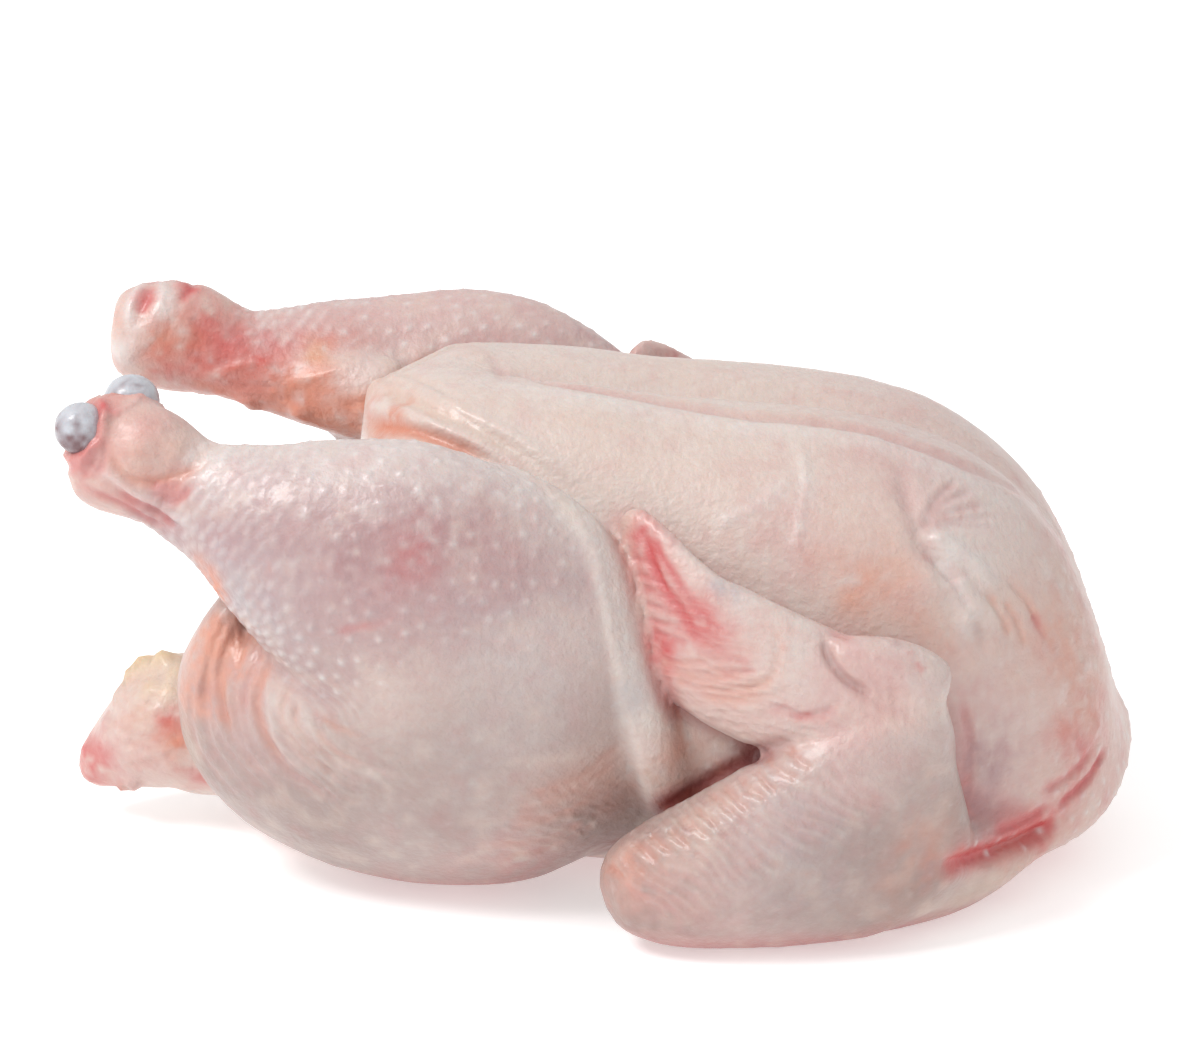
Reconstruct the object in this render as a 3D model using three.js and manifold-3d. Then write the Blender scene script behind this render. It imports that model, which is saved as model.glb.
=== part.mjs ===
// A whole raw chicken, plucked and drawn, lying on its back with the breast up.
// Millimetres, +Z up. X runs from the tail (-X) to the neck (+X), and Y from the left side (-Y) to the right (+Y).
// The origin is on the table under the middle of the bird.

import * as THREE from 'three';
import { mergeVertices } from 'three/addons/utils/BufferGeometryUtils.js';
import Module from 'manifold-3d';

const wasm = await Module();
wasm.setup();

const SKIN = { color: 0xdcc2b9, roughness: 0.42, metalness: 0.0 };

// Driving sizes. The right leg is drawn out a little longer and higher than the left one, and its wing tip lies higher.
const BREAST_TOP = 112;
const BREAST_HALF_WIDTH = 60;
const LOBE_OFFSET = 17;
const GROOVE_WIDTH = 11;
const TORSO_MIDDLE = 0.42;
const PRESSED_FLAT = 1.6;
const RIGHT_HOCK_LIFT = 4;
const RIGHT_KNEE_LIFT = 9.5;
const RIGHT_LEG_BACK = 4;
const RIGHT_LEG_STRETCH = 1.12;
const RIGHT_HAND_LIFT = 7;
const HOCK_X = -104;
const KNEE_X = -10;
const TABLE = { size: 500, thickness: 40 };

// Each torso station: x, half width, underside, top and depth of the groove along the keel.
const TORSO = [
  [-92, 19, 10, 40, 0],
  [-84, 29, 5, 52, 0],
  [-70, 35, 1, 66, 0],
  [-57, 40, -PRESSED_FLAT, 88, 1],
  [-40, 44, -PRESSED_FLAT, BREAST_TOP - 2, 3],
  [-14, 50, -PRESSED_FLAT, BREAST_TOP, 4],
  [14, 56, -PRESSED_FLAT, BREAST_TOP - 3, 5],
  [40, BREAST_HALF_WIDTH, -PRESSED_FLAT, BREAST_TOP - 5, 5],
  [62, BREAST_HALF_WIDTH, -PRESSED_FLAT, BREAST_TOP - 8, 4],
  [80, 56, -PRESSED_FLAT, BREAST_TOP - 14, 3],
  [98, 47, -PRESSED_FLAT, BREAST_TOP - 27, 2],
  [111, 38, 2, BREAST_TOP - 46, 1],
  [120, 27, 10, BREAST_TOP - 70, 0],
];

// Each limb station: x, y, z, half breadth and half depth. The limbs are those of the left side, with y below zero.
const THIGH = [
  [-92, -34, 46, 18, 13],
  [-74, -36, 41, 30, 20],
  [-44, -39, 36, 35, 24],
  [-14, -41, 36, 35, 24],
  [18, -44, 40, 25, 18],
];
const DRUMSTICK = [
  [10, -48, 56, 26, 17],
  [-12, -51, 68, 33, 20],
  [-30, -53, 75, 33, 21],
  [-48, -52, 81, 31, 21],
  [-66, -50, 88, 23, 18],
  [-79, -47, 93, 16, 13],
  [-92, -44, 97, 13, 10],
  [-104, -42, 103, 11, 10],
];
const RIGHT_DRUMSTICK = [
  [20, -48, 67, 26, 17],
  [-5, -51, 77, 33, 20],
  [-25, -53, 83, 33, 21],
  [-45, -52, 91, 27, 20],
  [-64, -49, 99, 16, 15],
  [-80, -46, 101.5, 11.5, 11],
  [-95, -43, 103, 11.5, 10],
  [-108, -42, 107, 11, 10],
];
const KNEE = [
  [-30, -51, 86, 30, 17],
  [-27, -51, 56, 40, 20],
  [-24, -42, 20, 32, 18],
];
const HOCK = [
  [-84, -45, 96, 9, 8],
  [-97, -43, 102, 13, 10],
  [-113, -42, 104, 12, 9],
];
const CONDYLES = [
  [-110.5, -46, 110.8, 5.2],
  [-101.5, -35, 113.8, 5.3],
];
const GROIN_WEB = [
  [-92, -38, 98, 6, 5],
  [-74, -37, 91, 8, 7],
  [-50, -30, 87, 12, 9],
];
const HUMERUS = [
  [94, -34, 15, 15, 15],
  [74, -48, 16, 17, 15],
  [44, -59, 14, 16, 13],
  [11, -66, 12, 13, 11],
];
const WING_WEB = [
  [7, -66, 12, 12, 10],
  [30, -68, 18, 17, 11],
  [56, -67, 27, 24, 11],
  [80, -62, 34, 25, 9],
];
const FOREARM = [
  [4, -67, 13, 13, 11],
  [29, -70, 23, 13, 11],
  [51, -70, 38, 13, 10],
  [72, -66, 57, 14, 11],
];
const HAND = [
  [74, -64, 57, 13, 10],
  [59, -66, 57, 14, 9],
  [40, -65, 61, 16, 8],
  [21, -59, 72, 16, 7],
  [7, -48, 94, 10, 5],
];
const ALULA = [
  [80, -66, 57, 10, 8],
  [66, -68, 66, 6, 6],
  [50, -69, 69.5, 5, 4.5],
];
const FLANK = [
  [-22, -46, 102, 5, 5],
  [-3, -53, 89, 6, 5],
  [6, -57, 68, 6, 7],
  [12, -58, 46, 7, 6],
  [18, -54, 26, 7, 6],
];
const TAIL = [
  [-78, 0, 24, 18, 22],
  [-98, 0, 24, 17, 17],
  [-110, 0, 19, 12, 12],
  [-122.5, 0, 11, 6, 6],
];
const BREAST_TIP = [
  [-12, 0, 96, 24, 13],
  [-36, 0, 98, 22, 14],
  [-54, 0, 97, 17, 12],
];
const NECK_RIM = [
  [84, 46, 8, 8, 8],
  [102, 34, 14, 10, 9],
  [112, 16, 23, 11, 10],
  [113, -8, 24, 11, 10],
  [102, -29, 18, 10, 9],
  [86, -44, 9, 8, 8],
];
const CAVITY = [
  [-114, 0, 82, 17, 18],
  [-80, 0, 71, 22, 23],
  [-38, 0, 57, 29, 27],
  [6, 0, 54, 30, 26],
  [42, 0, 54, 20, 18],
];

const UP = new THREE.Vector3(0, 0, 1);
const SIDEWAYS = new THREE.Vector3(0, 1, 0);
const LENGTHWISE = new THREE.Vector3(1, 0, 0);
const THIGH_LEAN = new THREE.Vector3(0, -0.3, 1).normalize();

// How wide a form is at share c of the way from its middle (0) to its rounded end (1).
function closing(c, fullness) {
  return Math.pow(Math.max(0, 1 - Math.pow(Math.abs(c), fullness)), 1 / fullness);
}

// A smooth run through rows of numbers, at share t of the way along them.
function between(rows, t) {
  const place = t * (rows.length - 1);
  const i = Math.min(Math.floor(place), rows.length - 2);
  const f = place - i;
  const row = (k) => rows[Math.min(Math.max(k, 0), rows.length - 1)];
  return rows[0].map((_, k) => {
    const [a, b, c, d] = [row(i - 1)[k], row(i)[k], row(i + 1)[k], row(i + 2)[k]];
    return b + 0.5 * f * (c - a + f * (2 * a - 5 * b + 4 * c - d + f * (3 * (b - c) + d - a)));
  });
}

// The geometry with its shared vertices joined, so that only the shape is left.
function welded(geometry) {
  geometry.deleteAttribute('normal');
  geometry.deleteAttribute('uv');
  return mergeVertices(geometry, 1e-5);
}

function solid(geometry) {
  return new wasm.Manifold(new wasm.Mesh({
    numProp: 3,
    vertProperties: new Float32Array(geometry.attributes.position.array),
    triVerts: new Uint32Array(geometry.index.array),
  }));
}

// A sphere whose vertices are moved by place(share along its axis from -1 to 1, unit x, unit z), as a closed solid.
function shapedSphere(sides, rings, place) {
  const sphere = welded(new THREE.SphereGeometry(1, sides, rings));
  const at = sphere.attributes.position;
  for (let i = 0; i < at.count; i++) {
    const ring = Math.hypot(at.getX(i), at.getZ(i));
    const [u, w] = ring > 1e-6 ? [at.getX(i) / ring, at.getZ(i) / ring] : [0, 0];
    at.setXYZ(i, ...place(at.getY(i), u, w).toArray());
  }
  return solid(sphere);
}

// A limb with rounded ends along its stations. Its half breadth lies towards the across direction.
function limb(stations, { across = UP, sides = 16, rings = 14, fullness = 2.5 } = {}) {
  const spine = (t) => new THREE.Vector3(...between(stations, t));
  return shapedSphere(sides, rings, (c, u, w) => {
    const t = (c + 1) / 2;
    const [, , , breadth, depth] = between(stations, t);
    const tangent = spine(Math.min(t + 0.01, 1)).sub(spine(Math.max(t - 0.01, 0))).normalize();
    const side = across.clone().addScaledVector(tangent, -across.dot(tangent)).normalize();
    const face = new THREE.Vector3().crossVectors(side, tangent);
    const r = closing(c, fullness);
    return spine(t).addScaledVector(side, breadth * r * u).addScaledVector(face, depth * r * w);
  });
}

function ball([x, y, z, radius]) {
  const poles = [[x, y - radius, z, radius, radius], [x, y + radius, z, radius, radius]];
  return limb(poles, { sides: 10, rings: 8, fullness: 2 });
}

// The torso: two breast lobes with a groove between them above, rounded sides and a flat back.
function torso() {
  return shapedSphere(38, 34, (c, u, w) => {
    const [x, halfWidth, bottom, top, groove] = between(TORSO, (c + 1) / 2);
    const r = closing(c, 5);
    const middle = bottom + TORSO_MIDDLE * (top - bottom);
    const y = halfWidth * w;
    const lobe = Math.min(LOBE_OFFSET, 0.45 * halfWidth);
    const outward = Math.max(0, (Math.abs(y) - lobe) / (halfWidth - lobe));
    const valley = groove * Math.exp(-4 * (y / GROOVE_WIDTH) ** 2);
    const above = (top - middle) * Math.sqrt(Math.max(0, 1 - outward ** 2.1)) - valley;
    const below = -(middle - bottom) * Math.abs(u) ** 0.7;
    return new THREE.Vector3(x, y * r, middle + (u >= 0 ? above : below) * r);
  });
}

function raised(stations, lift) {
  return stations.map(([x, y, z, ...sizes]) => [x, y, z + lift, ...sizes]);
}

// Stations of the left lower leg as the right one has them: drawn out, moved back and raised, the knee more than the hock.
function drawnOut(stations) {
  return stations.map(([x, y, z, ...sizes]) => {
    const share = (x - HOCK_X) / (KNEE_X - HOCK_X);
    const lift = RIGHT_HOCK_LIFT + (RIGHT_KNEE_LIFT - RIGHT_HOCK_LIFT) * share;
    return [HOCK_X - RIGHT_LEG_BACK + (x - HOCK_X) * RIGHT_LEG_STRETCH, y, z + lift, ...sizes];
  });
}

// A leg with its own drumstick, and with the stations round its lower end changed by place.
function leg(drumstick, place) {
  return [
    limb(THIGH, { across: THIGH_LEAN, sides: 18, rings: 14 }),
    limb(KNEE, { across: LENGTHWISE, sides: 14, rings: 10 }),
    limb(drumstick, { sides: 16, rings: 16 }),
    limb(place(HOCK), { sides: 12, rings: 10, fullness: 3.5 }),
    limb(place(GROIN_WEB), { sides: 10, rings: 8 }),
  ];
}

function wing(lift) {
  return [
    limb(HUMERUS, { sides: 12, rings: 10 }),
    limb(WING_WEB, { sides: 14, rings: 10 }),
    limb(FOREARM, { sides: 14, rings: 10 }),
    limb(raised(HAND, lift), { sides: 14, rings: 12 }),
    limb(raised(ALULA, lift), { sides: 8, rings: 8 }),
    limb(FLANK, { across: LENGTHWISE, sides: 8, rings: 12 }),
  ];
}

// Everything below the table top, which leaves the flat faces that the bird rests on.
function table() {
  const { size, thickness } = TABLE;
  return solid(welded(new THREE.BoxGeometry(size, size, thickness).translate(0, 0, -thickness / 2)));
}

function chicken() {
  const left = [...leg(DRUMSTICK, (stations) => stations), ...CONDYLES.map(ball), ...wing(0)];
  const right = [...leg(RIGHT_DRUMSTICK, drawnOut), ...wing(RIGHT_HAND_LIFT)];
  const middle = [
    torso(),
    limb(TAIL, { across: SIDEWAYS, sides: 14, rings: 10 }),
    limb(BREAST_TIP, { across: SIDEWAYS, sides: 12, rings: 8 }),
    limb(NECK_RIM, { sides: 10, rings: 18 }),
  ];
  const cavity = limb(CAVITY, { across: SIDEWAYS, sides: 16, rings: 14 });
  const whole = [...middle, ...left, ...right.map((piece) => piece.mirror([0, 1, 0]))];
  return wasm.Manifold.union(whole).subtract(cavity).subtract(table());
}

function mesh(name, piece, finish) {
  const { vertProperties, triVerts } = piece.getMesh();
  const geometry = new THREE.BufferGeometry();
  geometry.setAttribute('position', new THREE.BufferAttribute(new Float32Array(vertProperties), 3));
  geometry.setIndex(new THREE.BufferAttribute(new Uint32Array(triVerts), 1));
  geometry.computeVertexNormals();
  const made = new THREE.Mesh(geometry, new THREE.MeshStandardMaterial(finish));
  made.name = name;
  return made;
}

const model = new THREE.Group();
model.add(mesh('chicken', chicken(), SKIN));

export default model;
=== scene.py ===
# The looks of a whole raw chicken lying on its back. One continuous skin is made from the distance fields of
# its limbs, with folds, follicles and colours laid over it. The two knobs at the end of the left leg are a
# second piece. Lengths are millimetres until a mesh is written out in metres, but for lights and materials.

import math

import bmesh
import bpy
import numpy as np
import openvdb
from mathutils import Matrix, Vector
from mathutils.bvhtree import BVHTree
from mathutils.kdtree import KDTree


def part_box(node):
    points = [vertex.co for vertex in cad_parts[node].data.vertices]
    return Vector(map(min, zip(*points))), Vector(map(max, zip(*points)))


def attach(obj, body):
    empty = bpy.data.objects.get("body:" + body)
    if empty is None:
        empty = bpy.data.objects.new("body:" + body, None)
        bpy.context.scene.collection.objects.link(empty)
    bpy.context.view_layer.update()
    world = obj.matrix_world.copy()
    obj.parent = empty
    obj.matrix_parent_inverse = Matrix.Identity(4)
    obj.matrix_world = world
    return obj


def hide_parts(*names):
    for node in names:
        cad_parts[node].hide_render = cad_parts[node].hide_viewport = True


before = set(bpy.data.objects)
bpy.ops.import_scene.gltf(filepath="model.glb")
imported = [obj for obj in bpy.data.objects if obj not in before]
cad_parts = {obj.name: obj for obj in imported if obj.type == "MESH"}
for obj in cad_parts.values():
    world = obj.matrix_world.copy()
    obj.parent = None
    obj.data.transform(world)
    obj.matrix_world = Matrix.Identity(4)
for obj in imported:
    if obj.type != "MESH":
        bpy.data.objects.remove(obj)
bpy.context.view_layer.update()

MM = 0.001
SEED = 7

# The camera, and the size of its picture in pixels, in which the places of folds and tints are given
PICTURE = (1200, 1040)
SENSOR = 36.0
LENS = 102.0
AIM = np.array([0.0, 0.0, 75.6])
DISTANCE = 783.0
AZIMUTH, ELEVATION = math.radians(1.5), math.radians(18.5)
FOCAL = LENS / SENSOR * PICTURE[0]
ACROSS = np.array([math.cos(AZIMUTH), math.sin(AZIMUTH), 0.0])
TOWARDS = np.array([math.sin(AZIMUTH), -math.cos(AZIMUTH), 0.0])
BACK = TOWARDS * math.cos(ELEVATION) + np.array([0.0, 0.0, math.sin(ELEVATION)])
UPRIGHT = np.cross(BACK, ACROSS)
EYE = AIM + DISTANCE * BACK

# The grid of the distance fields
VOXEL = 1.8
BAND_VOXELS = 12
MARGIN = 9.0
low, high = (np.array(corner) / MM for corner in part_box("chicken"))
ORIGIN = np.floor(low - MARGIN)
SHAPE = tuple(np.ceil((high + MARGIN - ORIGIN) / VOXEL).astype(int))
TICKS = [start + VOXEL * np.arange(count) for start, count in zip(ORIGIN, SHAPE)]
X, _, Z = np.meshgrid(*TICKS, indexing="ij", sparse=True)

# Each torso station: x, half width, underside, top and depth of the groove along the keel.
BREAST_TOP = 112
BREAST_HALF_WIDTH = 60
LOBE_OFFSET = 17
GROOVE_WIDTH = 11
TORSO_MIDDLE = 0.42
PRESSED_FLAT = 1.6
TORSO = [
    [-92, 19, 10, 40, 0],
    [-84, 29, 5, 52, 0],
    [-70, 35, 1, 66, 0],
    [-57, 40, -PRESSED_FLAT, 88, 1],
    [-40, 44, -PRESSED_FLAT, BREAST_TOP - 2, 3],
    [-14, 50, -PRESSED_FLAT, BREAST_TOP, 4],
    [14, 56, -PRESSED_FLAT, BREAST_TOP - 3, 5],
    [40, BREAST_HALF_WIDTH, -PRESSED_FLAT, BREAST_TOP - 5, 5],
    [62, BREAST_HALF_WIDTH, -PRESSED_FLAT, BREAST_TOP - 8, 4],
    [80, 56, -PRESSED_FLAT, BREAST_TOP - 14, 3],
    [98, 47, -PRESSED_FLAT, BREAST_TOP - 27, 2],
    [111, 38, 2, BREAST_TOP - 46, 1],
    [120, 27, 10, BREAST_TOP - 70, 0],
]

# Each limb station: x, y, z, half breadth and half depth. The limbs are those of the left side, where y is
# below zero.
THIGH = [
    [-92, -34, 46, 18, 13],
    [-74, -36, 41, 30, 20],
    [-44, -39, 36, 35, 24],
    [-14, -41, 36, 35, 24],
    [18, -44, 40, 25, 18],
]
KNEE = [[-30, -51, 86, 30, 17], [-27, -51, 56, 40, 20], [-24, -42, 20, 32, 18]]
VENT_FLAP = [[-79, -36, 71, 4, 8], [-83, -36, 60, 6, 11], [-87, -35, 48, 6.5, 12], [-84, -35, 33, 5, 11]]
DRUMSTICK = [
    [10, -48, 56, 26, 17],
    [-12, -51, 68, 33, 20],
    [-30, -53, 75, 33, 21],
    [-48, -52, 81, 31, 21],
    [-66, -50, 88, 23, 18],
    [-79, -47, 93, 16, 13],
    [-92, -44, 97, 13, 10],
    [-104, -42, 103, 11, 10],
]
RIGHT_DRUMSTICK = [
    [20, -48, 67, 26, 17],
    [-5, -51, 77, 33, 20],
    [-25, -53, 83, 33, 21],
    [-45, -52, 91, 27, 20],
    [-64, -49, 99, 16, 15],
    [-80, -46, 101.5, 11.5, 11],
    [-95, -43, 103, 11.5, 10],
    [-108, -42, 107, 11, 10],
]
HOCK = [[-84, -45, 96, 9, 8], [-97, -43, 102, 13, 10], [-113, -42, 104, 12, 9]]
HUMERUS = [[94, -34, 15, 15, 15], [74, -48, 16, 17, 15], [44, -59, 14, 16, 13], [11, -66, 12, 13, 11]]
WING_WEB = [[7, -66, 12, 12, 10], [30, -68, 18, 17, 11], [56, -67, 27, 24, 11], [80, -62, 34, 25, 9]]
FOREARM = [[4, -67, 13, 13, 11], [29, -70, 23, 13, 11], [51, -70, 38, 13, 10], [72, -66, 57, 14, 11]]
HAND = [
    [74, -64, 57, 13, 10],
    [59, -66, 57, 14, 9],
    [40, -65, 61, 16, 8],
    [21, -59, 72, 16, 7],
    [7, -48, 94, 10, 5],
]
FLANK = [
    [-22, -46, 102, 5, 5],
    [-3, -53, 89, 6, 5],
    [6, -57, 68, 6, 7],
    [12, -58, 46, 7, 6],
    [18, -54, 26, 7, 6],
]
ALULA = [[74, -66, 59, 9, 8], [64, -68, 66, 6, 6], [50, -69, 69.5, 5, 4.5]]
TAIL = [[-78, 0, 24, 18, 22], [-98, 0, 24, 17, 17], [-110, 0, 19, 12, 12], [-122.5, 0, 11, 6, 6]]
BREAST_TIP = [[-12, 0, 96, 24, 13], [-36, 0, 98, 22, 14], [-54, 0, 97, 17, 12]]
GROIN_WEB = [[-92, -38, 98, 6, 5], [-74, -37, 91, 8, 7], [-50, -30, 87, 12, 9]]
NECK_RIM = [
    [84, 46, 8, 8, 8],
    [102, 34, 14, 10, 9],
    [112, 16, 23, 11, 10],
    [113, -8, 24, 11, 10],
    [102, -29, 18, 10, 9],
    [86, -44, 9, 8, 8],
]
CAVITY = [
    [-114, 0, 82, 17, 18],
    [-80, 0, 71, 22, 23],
    [-38, 0, 57, 29, 27],
    [6, 0, 54, 30, 26],
    [42, 0, 54, 20, 18],
]
RIB_SPACING = 11

# The right leg is drawn out a little longer and higher than the left one, and its wing tip lies higher.
RIGHT_HOCK_LIFT = 4
RIGHT_KNEE_LIFT = 9.5
RIGHT_LEG_BACK = 4
RIGHT_LEG_STRETCH = 1.12
RIGHT_HAND_LIFT = 9.5
HOCK_X, KNEE_X = -104, -10

UP = np.array([0.0, 0.0, 1.0])
SIDEWAYS = np.array([0.0, 1.0, 0.0])
LENGTHWISE = np.array([1.0, 0.0, 0.0])
THIGH_LEAN = np.array([0.0, -0.3, 1.0])
SHANK = np.array([-0.8, 0.0, 0.6])

# The radii of the rounded valleys between the forms
TAIL_VALLEY, TIP_VALLEY, NECK_VALLEY, FLANK_VALLEY = 8, 8, 7, 6
FLAP_VALLEY, KNEE_VALLEY, HOCK_VALLEY, GROIN_VALLEY = 4, 14, 4, 12
WEB_VALLEY, HUMERUS_VALLEY, THUMB_VALLEY = 16, 10, 2
LEG_VALLEY, PAIR_VALLEY, CAVITY_RIM = 5, 1, 4

# The bare joint end of the left leg: its knobs as x, y, z and radius
KNOBS = [[-110.5, -46, 110.8, 5.6], [-101.2, -35, 113.4, 6.1]]

# The finest faces lie on this side of y.
NEAR_SIDE = -25

# A line on the skin is cut where it jumps farther than this.
JUMP = 9

# Where the picture shows nothing, the skin is looked for at these distances behind the middle of the bird.
SEARCH = range(-90, 91, 6)

# The grid of random values that the noise is blended from, over and over
NOISE_SHAPE = (32, 32, 32)

# A limb's own share of a point of the skin runs out between these distances from the limb.
OWN, FOREIGN = 1, 3.5

# Where the skin lies flat on the table, its underside is cut off with a rounded edge.
TABLE_EDGE = 1.2


# Shapes

def closing(c, fullness):
    """How wide a form is at share c of the way from its middle (0) to its rounded end (1)."""
    return np.maximum(0, 1 - np.abs(c) ** fullness) ** (1 / fullness)


def between(rows, t):
    """A smooth run through rows of numbers, at shares t of the way along them."""
    rows = np.array(rows, float)
    place = np.asarray(t, float) * (len(rows) - 1)
    i = np.minimum(place.astype(int), len(rows) - 2)
    f = (place - i)[..., None]
    a, b, c, d = (rows[np.clip(i + k, 0, len(rows) - 1)] for k in (-1, 0, 1, 2))
    return b + 0.5 * f * (c - a + f * (2 * a - 5 * b + 4 * c - d + f * (3 * (b - c) + d - a)))


def unit(rows):
    """Rows of directions brought to length 1."""
    return rows / np.linalg.norm(rows, axis=1, keepdims=True)


def sphere_grid(sides, rings):
    """A ball: its vertices' shares along the axis and directions round it, poles last, and its triangles."""
    theta = np.pi * np.arange(1, rings) / rings
    phi = 2 * np.pi * np.arange(sides) / sides
    c = np.append(np.repeat(np.cos(theta), sides), [1.0, -1.0])
    u = np.append(np.tile(np.cos(phi), rings - 1), [0.0, 0.0])
    w = np.append(np.tile(np.sin(phi), rings - 1), [0.0, 0.0])
    at = np.arange((rings - 1) * sides).reshape(rings - 1, sides)
    right = np.roll(at, -1, axis=1)
    faces = [np.stack([at[:-1], right[:-1], right[1:]], -1), np.stack([at[:-1], right[1:], at[1:]], -1)]
    first = np.stack([np.full(sides, len(c) - 2), right[0], at[0]], -1)
    last = np.stack([np.full(sides, len(c) - 1), at[-1], right[-1]], -1)
    return c, u, w, np.concatenate([*(f.reshape(-1, 3) for f in faces), first, last])


def limb(stations, across=UP, fullness=2.5, sides=40, rings=40):
    """The vertices and triangles of a limb with rounded ends, whose breadth lies towards across."""
    c, u, w, triangles = sphere_grid(sides, rings)
    t = (c + 1) / 2
    run = between(stations, t)
    before, after = (between(stations, np.clip(t + step, 0, 1))[:, :3] for step in (-0.01, 0.01))
    tangent = unit(after - before)
    side = unit(across - (tangent @ across)[:, None] * tangent)
    face = np.cross(side, tangent)
    r = closing(c, fullness)
    return run[:, :3] + side * (run[:, 3] * r * u)[:, None] + face * (run[:, 4] * r * w)[:, None], triangles


def torso():
    """Two breast lobes with a groove between them above, rounded sides and a flat back."""
    c, u, w, triangles = sphere_grid(90, 80)
    x, half_width, bottom, top, groove = between(TORSO, (c + 1) / 2).T
    r = closing(c, 5)
    middle = bottom + TORSO_MIDDLE * (top - bottom)
    y = half_width * w
    lobe = np.minimum(LOBE_OFFSET, 0.45 * half_width)
    outward = np.maximum(0, (np.abs(y) - lobe) / (half_width - lobe))
    valley = groove * np.exp(-4 * (y / GROOVE_WIDTH) ** 2)
    above = (top - middle) * np.sqrt(np.maximum(0, 1 - outward ** 2.1)) - valley
    below = -(middle - bottom) * np.abs(u) ** 0.7
    return np.stack([x, y * r, middle + np.where(u >= 0, above, below) * r], -1), triangles


# Distance fields

def field(shape):
    """The distance to a closed shape at every point of the grid, below zero inside it."""
    points, triangles = shape
    grid = openvdb.FloatGrid.createLevelSetFromPolygons(
        (points - ORIGIN).astype(np.float32),
        triangles=triangles.astype(np.uint32),
        transform=openvdb.createLinearTransform(voxelSize=VOXEL),
        halfWidth=BAND_VOXELS,
    )
    values = np.full(SHAPE, VOXEL * BAND_VOXELS, np.float32)
    grid.copyToArray(values, ijk=(0, 0, 0))
    return values


def joined(a, b, radius):
    """Both shapes with a rounded valley of that radius between them."""
    near = np.maximum(radius - np.abs(a - b), 0) / radius
    return np.minimum(a, b) - near ** 3 * radius / 6


def carved(a, b, radius):
    """The first shape without the second one, with a rounded rim."""
    return -joined(-a, b, radius)


def ramp(value, start, end):
    """0 before start and 1 after end, with a smooth step between them."""
    t = np.clip((value - start) / (end - start), 0, 1)
    return t * t * (3 - 2 * t)


def widening(narrow, wide, start, end):
    """The radius of a valley that widens along x, from start to end."""
    return narrow + (wide - narrow) * ramp(X, start, end)


def blended(values, first, shares):
    """The mix of the eight values round points, at shares of the way from the first one of each eight."""
    total = np.zeros(len(first))
    for corner in np.ndindex(2, 2, 2):
        weight = np.prod(np.where(corner, shares, 1 - shares), axis=1)
        total += weight * values[tuple(((first + corner) % values.shape).T)]
    return total


def sample(values, points):
    """A field's values at points, which lie anywhere inside the grid."""
    place = (points - ORIGIN) / VOXEL
    first = np.clip(np.floor(place).astype(int), 0, np.array(SHAPE) - 2)
    return blended(values, first, place - first)


# The bird's shape

def sided(stations, side):
    """Stations of the left side, or mirrored for the right side."""
    rows = np.array(stations, float)
    rows[:, 1] *= side
    return rows


def drawn_out(stations):
    """Stations of the right lower leg: drawn out towards the knee, moved back and raised."""
    rows = np.array(stations, float)
    rows[:, 2] += np.interp(rows[:, 0], [HOCK_X, KNEE_X], [RIGHT_HOCK_LIFT, RIGHT_KNEE_LIFT])
    rows[:, 0] = HOCK_X - RIGHT_LEG_BACK + (rows[:, 0] - HOCK_X) * RIGHT_LEG_STRETCH
    return rows


def raised(stations, lift):
    """Stations lifted straight up."""
    rows = np.array(stations, float)
    rows[:, 2] += lift
    return rows


LEFT, RIGHT = 1, -1
DRUMSTICKS = {LEFT: DRUMSTICK, RIGHT: RIGHT_DRUMSTICK}
HOCKS = {LEFT: HOCK, RIGHT: drawn_out(HOCK)}
GROIN_WEBS = {LEFT: GROIN_WEB, RIGHT: drawn_out(GROIN_WEB)}
HAND_LIFTS = {LEFT: 0, RIGHT: RIGHT_HAND_LIFT}

# The parts that details are laid on. BODY is the whole bird, and a detail that is only HERE has no twin on
# the other side.
LEG, WING, TRUNK, BODY, HERE = "leg", "wing", "trunk", "body", "here"


def keep(parts, name, values):
    """Keeps a limb's field together with the other side's, to find both on the skin again."""
    parts[name] = np.minimum(parts.get(name, values), values)


def leg(side, parts):
    """The field of one leg. The crease between drumstick and thigh grows softer towards the knee."""
    thigh = field(limb(sided(THIGH, side), THIGH_LEAN * [1, side, 1]))
    flap = field(limb(sided(VENT_FLAP, side), LENGTHWISE))
    knee = field(limb(sided(KNEE, side), LENGTHWISE))
    drumstick = field(limb(sided(DRUMSTICKS[side], side)))
    hock = field(limb(sided(HOCKS[side], side), fullness=3.5))
    web = field(limb(sided(GROIN_WEBS[side], side)))
    upper = joined(joined(thigh, flap, FLAP_VALLEY), knee, KNEE_VALLEY)
    upper = joined(upper, drumstick, widening(3, 20, -62, -36))
    whole = joined(joined(upper, hock, HOCK_VALLEY), web, GROIN_VALLEY)
    keep(parts, "thigh", thigh)
    keep(parts, "drumstick", drumstick)
    keep(parts, "hock", hock)
    keep(parts, LEG, whole)
    return whole


def wing(side, parts):
    """The field of one folded wing. The hand lies free at its tip and grows into the forearm at the wrist."""
    humerus = field(limb(sided(HUMERUS, side)))
    web = field(limb(sided(WING_WEB, side)))
    forearm = field(limb(sided(FOREARM, side)))
    hand = field(limb(sided(raised(HAND, HAND_LIFTS[side]), side)))
    alula = field(limb(sided(raised(ALULA, HAND_LIFTS[side]), side)))
    fan = joined(joined(forearm, web, WEB_VALLEY), humerus, HUMERUS_VALLEY)
    whole = joined(fan, joined(hand, alula, THUMB_VALLEY), widening(2, 12, 56, 76))
    keep(parts, "forearm", forearm)
    keep(parts, "hand", hand)
    keep(parts, WING, whole)
    return whole


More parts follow.
